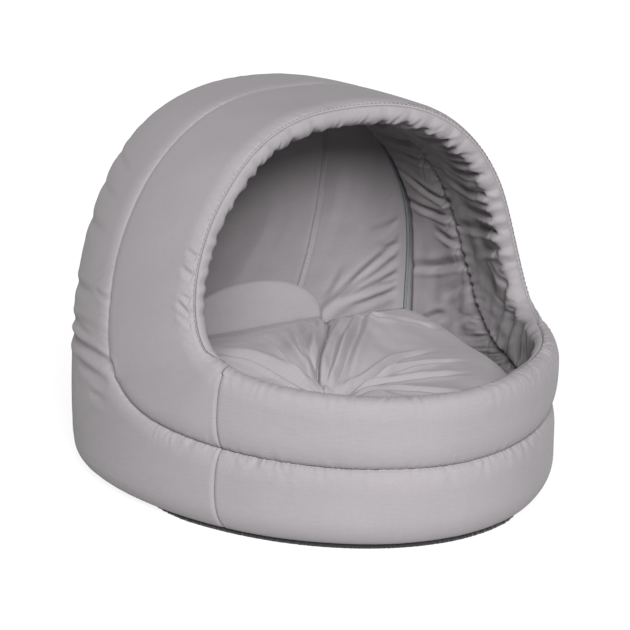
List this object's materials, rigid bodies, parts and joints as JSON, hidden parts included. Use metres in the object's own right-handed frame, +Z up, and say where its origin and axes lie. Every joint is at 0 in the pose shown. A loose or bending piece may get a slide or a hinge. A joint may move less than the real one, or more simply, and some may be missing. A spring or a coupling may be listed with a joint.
{
  "type": "soft dog house",
  "caption": "Padded grey cloth pet bed with a two-channel hood over the rear half, a low rounded front bumper and a loose tufted cushion inside.",
  "frame": {"origin": "bottom centre of the bounding box, on the underside of the sole", "axes": "+Z up, the open mouth faces -Y, +X to the right seen from the front"},
  "size_m": [0.3997, 0.3684, 0.3324],
  "materials": {
    "grey_cotton": "matte plain weave",
    "grey_lining": "matte plain weave",
    "overlock_thread": "matte thread",
    "black_felt": "fuzzy non-woven"
  },
  "bodies": {
    "root": {"sole": "black_felt", "hood_panel": "grey_cotton", "hood_lining": "grey_lining", "front_panel": "grey_cotton", "front_lining": "grey_lining", "back_panel": "grey_cotton", "back_lining": "grey_lining", "back_seam_edge": "overlock_thread", "cushion": "grey_cotton"}
  },
  "joints": []
}
